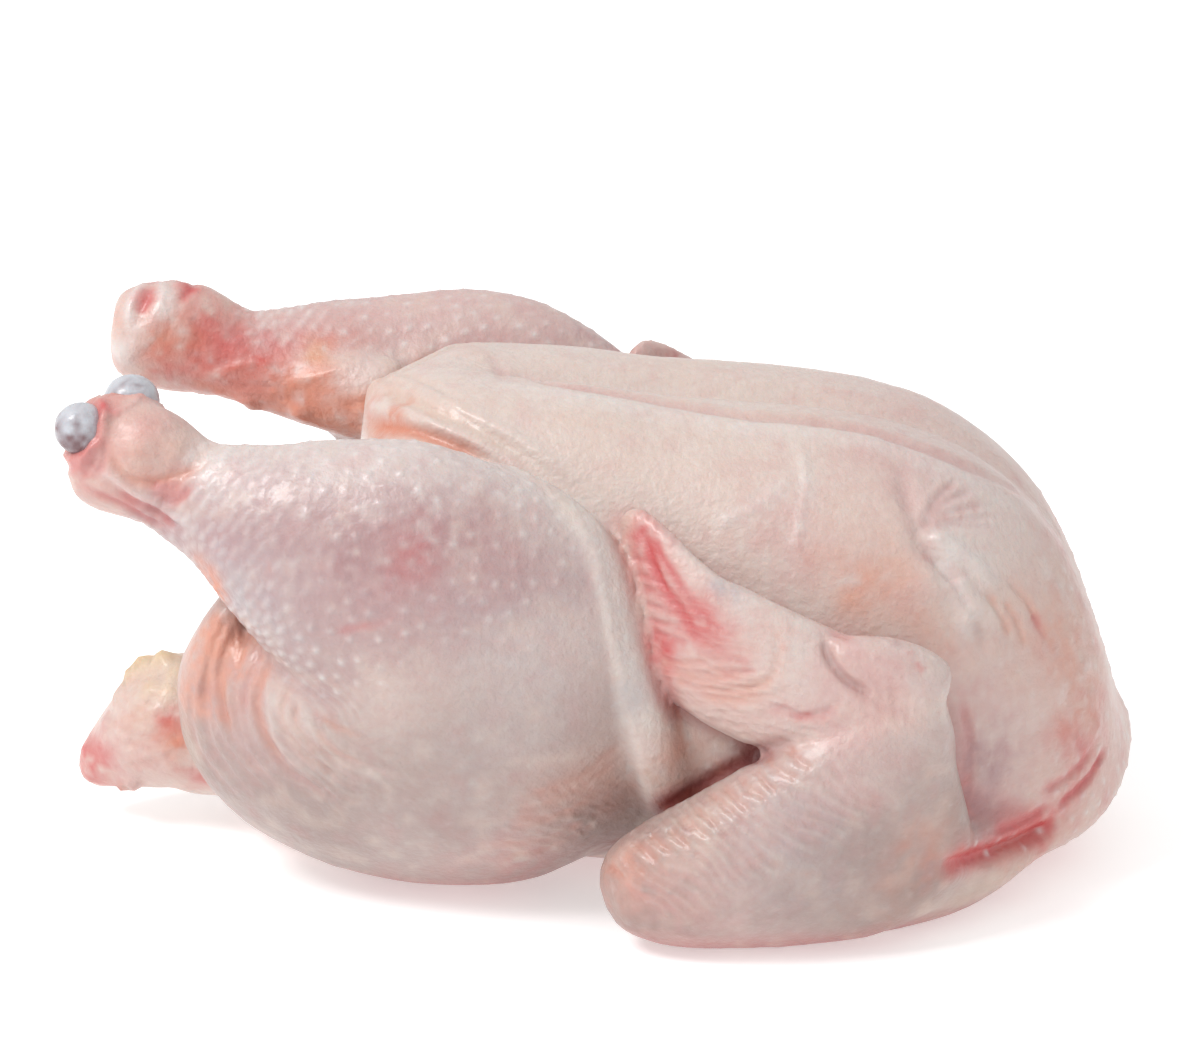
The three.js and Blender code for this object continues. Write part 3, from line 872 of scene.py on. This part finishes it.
class Skin:
    """The bird's skin as vertices, with their lift off the smooth surface and their colours."""

    def __init__(self, points, normals, of):
        self.points = points
        self.normals = normals
        self.of = {**of, HERE: np.ones(len(points)), BODY: np.ones(len(points))}
        self.lift = np.zeros(len(points))
        self.colour = np.tile(linear(PALE), (len(points), 1))
        self.fine = np.zeros(len(points), bool)

    @property
    def detailed(self):
        """Where the small bumps stand close together."""
        return self.of["drumstick"] + self.of["hock"] + self.of["hand"] > 0.5

    @property
    def facing(self):
        """Where the skin turns to the camera on the near side."""
        return (self.normals @ BACK > 0.1) & (self.points[:, 1] < NEAR_SIDE)

    def paint(self, near, colour, weight):
        """Mixes a colour into the vertices that near picks."""
        self.colour[near] += weight[:, None] * (linear(colour) - self.colour[near])

    def around(self, line, reach):
        """The vertices in a box that is that much larger than the line."""
        inside = (self.points > line.min(0) - reach) & (self.points < line.max(0) + reach)
        return np.flatnonzero(np.all(inside, axis=1))

    def fold(self, line, part, form, height, width, colour, strength):
        """Lays one fold along a line of points on the skin. It dies out towards both ends."""
        reach = 5 * width
        near = self.around(line, reach)
        spots = self.points[near]
        squared_gaps = (spots ** 2).sum(1)[:, None] - 2 * spots @ line.T + (line ** 2).sum(1)
        i = squared_gaps.argmin(1)
        way = np.gradient(line, axis=0)
        way /= np.maximum(np.linalg.norm(way, axis=1, keepdims=True), 1e-6)
        offset = spots - line[i]
        up = self.normals[near]
        along = np.abs((offset * way[i]).sum(1))
        rise = (offset * up).sum(1)
        side = (offset * np.cross(up, way[i])).sum(1)
        close = np.abs(rise) < reach
        share = i / (len(line) - 1)
        taper = np.clip(5 * np.minimum(share, 1 - share) + 0.15, 0, 1) * self.of[part][near]
        r = np.hypot(side, np.maximum(along - 1, 0)) / width
        near, r, taper = near[close], r[close], taper[close]
        self.lift[near] += height * taper * form(r)
        self.paint(near, colour, strength * taper * np.exp(-(r / 1.4) ** 2))
        self.fine[near[r < 2.4]] = True

    def spot(self, centre, part, radius, height, colour, strength):
        """Lays a lump or a tint of uneven outline round a point."""
        near = self.around(centre[None], 2.5 * radius)
        spots = self.points[near]
        r = np.linalg.norm(spots - centre, axis=1) / radius
        r *= 1 + 0.4 * noise(spots, 0.7 * radius + 1, 3)
        weight = np.exp(-r ** 2) * self.of[part][near]
        self.lift[near] += height * weight
        if height == 0:
            weight *= np.clip(0.9 + 0.7 * noise(spots, 1.7, 11) + 0.5 * noise(spots, 4, 12), 0, 1.3)
        self.paint(near, colour, np.minimum(strength * weight, 1))

    def wrinkle(self, centre, part, radius, angle, spacing, height):
        """Lays a patch of parallel wrinkles round a point."""
        near = self.around(centre[None], 2 * radius)
        spots = self.points[near]
        across = ACROSS * math.cos(math.radians(angle)) + UPRIGHT * math.sin(math.radians(angle))
        phase = (spots - centre) @ across / spacing + noise(spots, 3 * spacing, 5)
        fade = np.exp(-(np.linalg.norm(spots - centre, axis=1) / radius) ** 4) * self.of[part][near]
        wave = np.cos(2 * np.pi * phase)
        self.lift[near] += height * fade * wave
        self.paint(near, PINK, 2.0 * height * fade * np.maximum(-wave, 0))
        self.paint(near, PALE, 2.0 * height * fade * np.maximum(wave, 0))


def fold_lines(tree):
    """Every fold's line of points on the skin, with its part, form, height, width, colour and strength."""
    chance = np.random.default_rng(SEED)
    found = []
    for part, form, height, width, colour, strength, first, *fan in FOLDS:
        count, last = fan or (1, first)
        first, last = np.array(first, float), np.array(last, float)
        for share in np.linspace(0, 1, count):
            line = first + (last - first) * share
            loose = 0.0 if count == 1 else 1.0
            line = line + loose * chance.normal(0, 2.0, line.shape)
            start, end = loose * chance.uniform(0, 0.15), 1 - loose * chance.uniform(0, 0.2)
            pixels = between(line, np.linspace(start, end, 16 * len(line)))
            rise = height * chance.uniform(0.8, 1.1)
            for places in both(tree, part, traced(tree, pixels)):
                if len(places) > 4:
                    found.append((places, part, form, rise, width, colour, strength))
    return found


def lay_spots(skin, tree):
    """Lays the lumps, the tints and then the patches of wrinkles."""
    for part, across, down, *lump in LUMPS:
        for place in placed(tree, part, across, down):
            skin.spot(place, part, *lump)
    for part, across, down, radius, colour, strength in TINTS:
        for place in placed(tree, part, across, down):
            skin.spot(place, part, radius, 0, colour, strength)
    for part, across, down, *patch in WRINKLES:
        for place in placed(tree, part, across, down):
            skin.wrinkle(place, part, *patch)


def scattered(points, spacing, chance):
    """The numbers of points picked at random, none nearer to an earlier one than its own spacing."""
    cell = spacing.max()
    keys = (points // cell).astype(int).tolist()
    places = points.tolist()
    taken = {}
    picked = []
    for n in chance.permutation(len(points)).tolist():
        a, b, c = keys[n]
        beside = [q for x in (a - 1, a, a + 1) for y in (b - 1, b, b + 1) for z in (c - 1, c, c + 1)
                  for q in taken.get((x, y, z), ())]
        if all(math.dist(places[n], q) > spacing[n] for q in beside):
            taken.setdefault((a, b, c), []).append(places[n])
            picked.append(n)
    return np.array(picked)


def lay_follicles(skin):
    """Lays the small pale bumps that the feathers grew from, drawn out across the leg near the hock."""
    points, of = skin.points, skin.of
    drum, shank = of["drumstick"], of["drumstick"] * ramp(points[:, 0], -52, -78)
    neck = ramp(points[:, 0], 92, 108)
    spacing = FOLLICLE_SPACING - 1.3 * drum - 1.2 * shank - 1.2 * neck - 1.6 * of["forearm"]
    picked = scattered(points, spacing, np.random.default_rng(SEED))
    tree = KDTree(len(picked))
    for n, place in enumerate(points[picked].tolist()):
        tree.insert(place, n)
    tree.balance()
    nearest = picked[[tree.find(place)[1] for place in points.tolist()]]
    offset = points - points[nearest]
    way = np.cross(skin.normals, SHANK)
    way /= np.maximum(np.linalg.norm(way, axis=1, keepdims=True), 0.1)
    along = (offset * way).sum(1)
    r2 = (offset ** 2).sum(1) - along ** 2 + (along / (1 + 2.2 * shank)) ** 2
    chance = np.random.default_rng(SEED + 1).uniform(0.5, 1.1, len(points))[nearest]
    bump = chance * np.exp(-r2 / FOLLICLE_RADIUS ** 2)
    strength = 0.16 + 0.55 * drum + 0.5 * neck + 0.1 * of["forearm"] - 0.1 * of["hand"]
    strength *= (1 - of["cavity"]) * (0.7 + 0.3 * noise(points, 22, 9))
    skin.lift += FOLLICLE_HEIGHT * strength * bump
    skin.paint(slice(None), WHITE, np.minimum(1.1 * strength * bump, 1))


def lay_regions(skin):
    """Lays the broad tints of the body's parts and the blotches in them, with painted shade low on the legs
    and wings, in the seams and along the underside, and painted light on the drumsticks' upward faces.
    """
    points, of = skin.points, skin.of
    x, y, z = points.T
    blotch, small = noise(points, 15, 1), noise(points, 4, 2)
    patchy = 0.75 + 0.35 * blotch + 0.15 * small
    upward = ramp(skin.normals[:, 2], 0.2, 0.9)
    neck = ramp(x, 84, 110)
    tail = ramp(x, -84, -96) * ramp(z, 62, 50)
    far = ramp(y, 10, 30)
    tints = [
        (CREAM, 0.35 * patchy * of[TRUNK]),
        (PINK, 0.25 * patchy * (1 - of[TRUNK])),
        # Painted light: the mauve is kept off the drumsticks' upward faces, and the near one's upward faces
        # are painted lighter, where light from above falls.
        (MAUVE, 0.8 * patchy * of["drumstick"] * (1 - 0.9 * upward)),
        (WHITE, 0.4 * of["drumstick"] * upward * (1 - far)),
        (PINK, 0.5 * patchy * of["drumstick"] * far),
        (GREY, 0.25 * patchy * of["thigh"]),
        # Painted shade: the legs grow darker towards the table.
        (SHADE, 0.85 * patchy * of[LEG] * ramp(z, 84, 36)),
        (ORANGE, 0.3 * patchy * of["hock"]),
        # Painted shade: the wings, but for their tips, grow darker towards the table.
        (SHADE, 0.9 * patchy * of[WING] * (1 - of["hand"]) * ramp(z, 72, 30)),
        (ORANGE, 0.2 * patchy * of["hand"]),
        (PEACH, 0.4 * patchy * neck),
        (RED, 0.35 * neck * ramp(small + blotch, 0.3, 1.2)),
        (PALE, 0.5 * neck * ramp(-small, 0.2, 0.8)),
        (PINK, 0.35 * patchy * of[TRUNK] * ramp(x, 30, 80)),
        (ORANGE, 0.12 * patchy * tail),
        (FAT, 0.25 * ramp(blotch, 0.1, 0.7) * tail),
        (RED, 0.5 * patchy * of["seam"]),
        # Painted shade: dark red low in the seams between the wings and the rest.
        (RED_SHADE, 0.55 * of["seam"] * ramp(z, 66, 50) * ramp(x, 60, 45)),
        (RED, 0.75 * patchy * of["cavity"]),
        # Painted contact shadow: red along the skin just above the table.
        (RED, 0.6 * ramp(z, 10, 1)),
        (PINK, 0.25 * ramp(small, 0.1, 0.8)),
        (CREAM, 0.25 * ramp(-small, 0.1, 0.8)),
    ]
    for colour, weight in tints:
        skin.paint(slice(None), colour, weight)
    skin.lift += 0.4 * blotch + 0.14 * noise(points, 6, 7) + 0.05 * noise(points, 2.2, 8)
    skin.lift += 0.8 * of["cavity"] * np.cos(2 * np.pi * x / RIB_SPACING)


# Meshes

def new_object(name, points, faces):
    """An object with that mesh, which is shaded smooth."""
    mesh = bpy.data.meshes.new(name)
    mesh.from_pydata((points * MM).tolist(), [], faces)
    mesh.validate()
    mesh.shade_smooth()
    made = bpy.data.objects.new(name, mesh)
    bpy.context.collection.objects.link(made)
    return made


def slopes(values, points):
    """The outward directions of a field at points."""
    rises = [sample(values, points + step) - sample(values, points - step) for step in VOXEL * np.eye(3)]
    return unit(np.stack(rises, -1))


def refined(points, faces, fine):
    """The same mesh with the faces at fine vertices split into four."""
    mesh = bmesh.new()
    corners = [mesh.verts.new(point) for point in points.tolist()]
    made = [mesh.faces.new([corners[n] for n in face]) for face in faces]
    split = [face for face, numbers in zip(made, faces) if len(numbers) == 4 and fine[numbers].all()]
    edges = dict.fromkeys(edge for face in split for edge in face.edges)
    bmesh.ops.subdivide_edges(mesh, edges=list(edges), cuts=1, use_grid_fill=True)
    mesh.verts.index_update()
    points = np.array([corner.co[:] for corner in mesh.verts])
    faces = [[corner.index for corner in face.verts] for face in mesh.faces]
    mesh.free()
    return points, faces


def coloured(made, colour):
    """Stores a colour for each vertex of an object."""
    attribute = made.data.color_attributes.new("tint", "FLOAT_COLOR", "POINT")
    attribute.data.foreach_set("color", np.column_stack([colour, np.ones(len(colour))]).ravel())


def made_skin(values, parts, points, lines, *steps):
    """The skin at those points, with the broad steps laid on it first and then the folds."""
    skin = Skin(points, slopes(values, points), regions(parts, points))
    for step in steps:
        step(skin)
    for line in lines:
        skin.fold(*line)
    return skin


def bare_skin():
    """The whole skin as an object, with small faces under its details and the smallest on the near side."""
    values, parts = bird()
    points, quads = surface(values)
    quads = quads[:, ::-1]
    tree = BVHTree.FromPolygons(points.tolist(), quads.tolist())
    lines = fold_lines(tree)
    rough = made_skin(values, parts, points, lines)
    points, faces = refined(points, quads.tolist(), rough.fine | rough.detailed)
    middle = made_skin(values, parts, points, lines)
    points, faces = refined(points, faces, (middle.fine | (middle.of["drumstick"] > 0.6)) & middle.facing)
    points -= slopes(values, points) * sample(values, points)[:, None]
    skin = made_skin(values, parts, points, lines, lay_regions, lay_follicles)
    lay_spots(skin, tree)
    lay_collars(skin)
    points = points + skin.normals * skin.lift[:, None]
    points[:, 2] = np.maximum(points[:, 2], 0)
    made = new_object("skin", points, faces)
    coloured(made, skin.colour)
    return made


def regions(parts, points):
    """How far each point of the skin belongs to each part, from 0 to 1."""
    return {name: ramp(sample(values, points), FOREIGN, OWN) for name, values in parts.items()}


def lay_collars(skin):
    """Draws the skin up round the bare joint ends of the left leg."""
    for x, y, z, radius in KNOBS:
        gap = np.linalg.norm(skin.points - [x, y, z], axis=1) - radius
        skin.lift += 1.3 * np.exp(-((gap - 1.2) / 1.0) ** 2) * (1 + 0.5 * noise(skin.points, 3, 4))
        skin.paint(slice(None), RED, 0.5 * np.exp(-(gap / 1.5) ** 2))


def knob(x, y, z, r):
    """A ball of cartilage."""
    return limb([[x, y - r, z, r, r], [x, y + r, z, r, r]], fullness=2, sides=28, rings=20)


def joint_end():
    """The two smooth knobs of cartilage at the end of the left leg."""
    balls = [knob(*numbers) for numbers in KNOBS]
    points = np.concatenate([points for points, _ in balls])
    points += 0.15 * np.stack([noise(points, 3, k) for k in range(3)], -1)
    faces = np.concatenate([triangles + n * len(balls[0][0]) for n, (_, triangles) in enumerate(balls)])
    made = new_object("left_joint_end", points, faces)
    underside = ramp(points[:, 2] + 4 * noise(points, 2.5, 6), 115, 107)
    stain = np.clip(0.6 * noise(points, 1.6, 2) + 0.8 * underside, 0, 1)[:, None]
    coloured(made, linear(COLD) + (linear(SINEW) - linear(COLD)) * stain)
    return made


# Materials, floor, light and camera

# The middle of the bird in metres, which the lamp is turned to
LIT = Vector((0, 0, 0.06))

# A Mix node's colour sockets share their names with its number sockets, so they are found by their places.
MIX_A, MIX_B, MIX_RESULT = 6, 7, 2


def set_inputs(node, values):
    """Sets a node's own values by the names of their sockets."""
    for name, value in values.items():
        node.inputs[name].default_value = value


def new_material(name):
    """A new material and its shader."""
    material = bpy.data.materials.new(name)
    material.use_nodes = True
    return material, material.node_tree.nodes["Principled BSDF"]


def glowing_white(name):
    """A matt white that shines a little, so that the shadows on it stay light."""
    material, shader = new_material(name)
    set_inputs(shader, {
        "Base Color": (0.8, 0.8, 0.8, 1),
        "Roughness": 0.7,
        "Emission Color": (1, 1, 1, 1),
        "Emission Strength": 0.42,
    })
    return material


def flesh(name, roughness, subsurface, coat):
    """A moist translucent material that takes its colour from the vertices, with mottling and pores."""
    material, shader = new_material(name)
    nodes, links = material.node_tree.nodes, material.node_tree.links
    place = nodes.new("ShaderNodeTexCoord").outputs["Object"]

    def texture(scale, detail):
        """The values of a noise pattern, from 0 to 1."""
        made = nodes.new("ShaderNodeTexNoise")
        set_inputs(made, {"Scale": scale, "Detail": detail})
        links.new(place, made.inputs["Vector"])
        return made.outputs["Fac"]

    def mapped(values, limits):
        """The values brought into other limits."""
        made = nodes.new("ShaderNodeMapRange")
        set_inputs(made, limits)
        links.new(values, made.inputs["Value"])
        return made.outputs["Result"]

    tint = nodes.new("ShaderNodeVertexColor")
    tint.layer_name = "tint"
    blend = nodes.new("ShaderNodeMix")
    blend.data_type = "RGBA"
    blend.blend_type = "MULTIPLY"
    blend.inputs[MIX_B].default_value = (0.9, 0.78, 0.77, 1)
    mottle = mapped(texture(420, 4), {"From Min": 0.35, "From Max": 0.7, "To Min": 0.0, "To Max": 0.35})
    links.new(mottle, blend.inputs["Factor"])
    links.new(tint.outputs["Color"], blend.inputs[MIX_A])
    links.new(blend.outputs[MIX_RESULT], shader.inputs["Base Color"])

    wet = mapped(texture(90, 3), {"To Min": roughness - 0.12, "To Max": roughness + 0.16})
    links.new(wet, shader.inputs["Roughness"])

    pores = nodes.new("ShaderNodeBump")
    set_inputs(pores, {"Strength": 0.6, "Distance": 0.0007})
    links.new(texture(620, 5), pores.inputs["Height"])
    links.new(pores.outputs["Normal"], shader.inputs["Normal"])

    set_inputs(shader, {
        "Subsurface Weight": subsurface,
        "Subsurface Radius": (1.0, 0.42, 0.28),
        "Subsurface Scale": 0.002,
        "Coat Weight": coat,
        "Coat Roughness": 0.16,
        "Specular IOR Level": 0.5,
    })
    return material


def floor():
    """A plain pale table that reaches past the edges of the picture."""
    reach = 6000
    corners = [[-reach, -reach, 0], [reach, -reach, 0], [reach, reach, 0], [-reach, reach, 0]]
    made = new_object("floor", np.array(corners), [[0, 1, 2, 3]])
    made.data.materials.append(glowing_white("floor"))


def area_light(name, place, power, size):
    """A square lamp at a place in metres, turned to the middle of the bird."""
    data = bpy.data.lights.new(name, "AREA")
    data.energy = power
    data.size = size
    light = bpy.data.objects.new(name, data)
    light.location = place
    light.rotation_euler = (LIT - Vector(place)).to_track_quat("-Z", "Y").to_euler()
    bpy.context.collection.objects.link(light)


def studio():
    """An even white surround and one soft lamp from the upper left."""
    world = bpy.data.worlds.new("studio")
    world.use_nodes = True
    set_inputs(world.node_tree.nodes["Background"], {"Color": (1, 1, 1, 1), "Strength": 0.82})
    bpy.context.scene.world = world
    area_light("key", place=(-0.8, -0.5, 1.2), power=15, size=0.5)
    bpy.context.scene.view_settings.view_transform = "Standard"


def camera():
    """The camera at the viewing angle that the folds and tints were placed from."""
    data = bpy.data.cameras.new("camera")
    data.sensor_width = SENSOR
    data.lens = LENS
    made = bpy.data.objects.new("camera", data)
    made.location = Vector(EYE * MM)
    made.rotation_euler = Vector(-BACK).to_track_quat("-Z", "Y").to_euler()
    bpy.context.collection.objects.link(made)
    bpy.context.scene.camera = made


camera()
studio()
floor()

body = bare_skin()
body.data.materials.append(flesh("skin", roughness=0.42, subsurface=0.3, coat=0.2))
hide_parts("chicken")
knobs = joint_end()
knobs.data.materials.append(flesh("cartilage", roughness=0.3, subsurface=0.1, coat=0.3))
for piece in (body, knobs):
    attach(piece, "root")
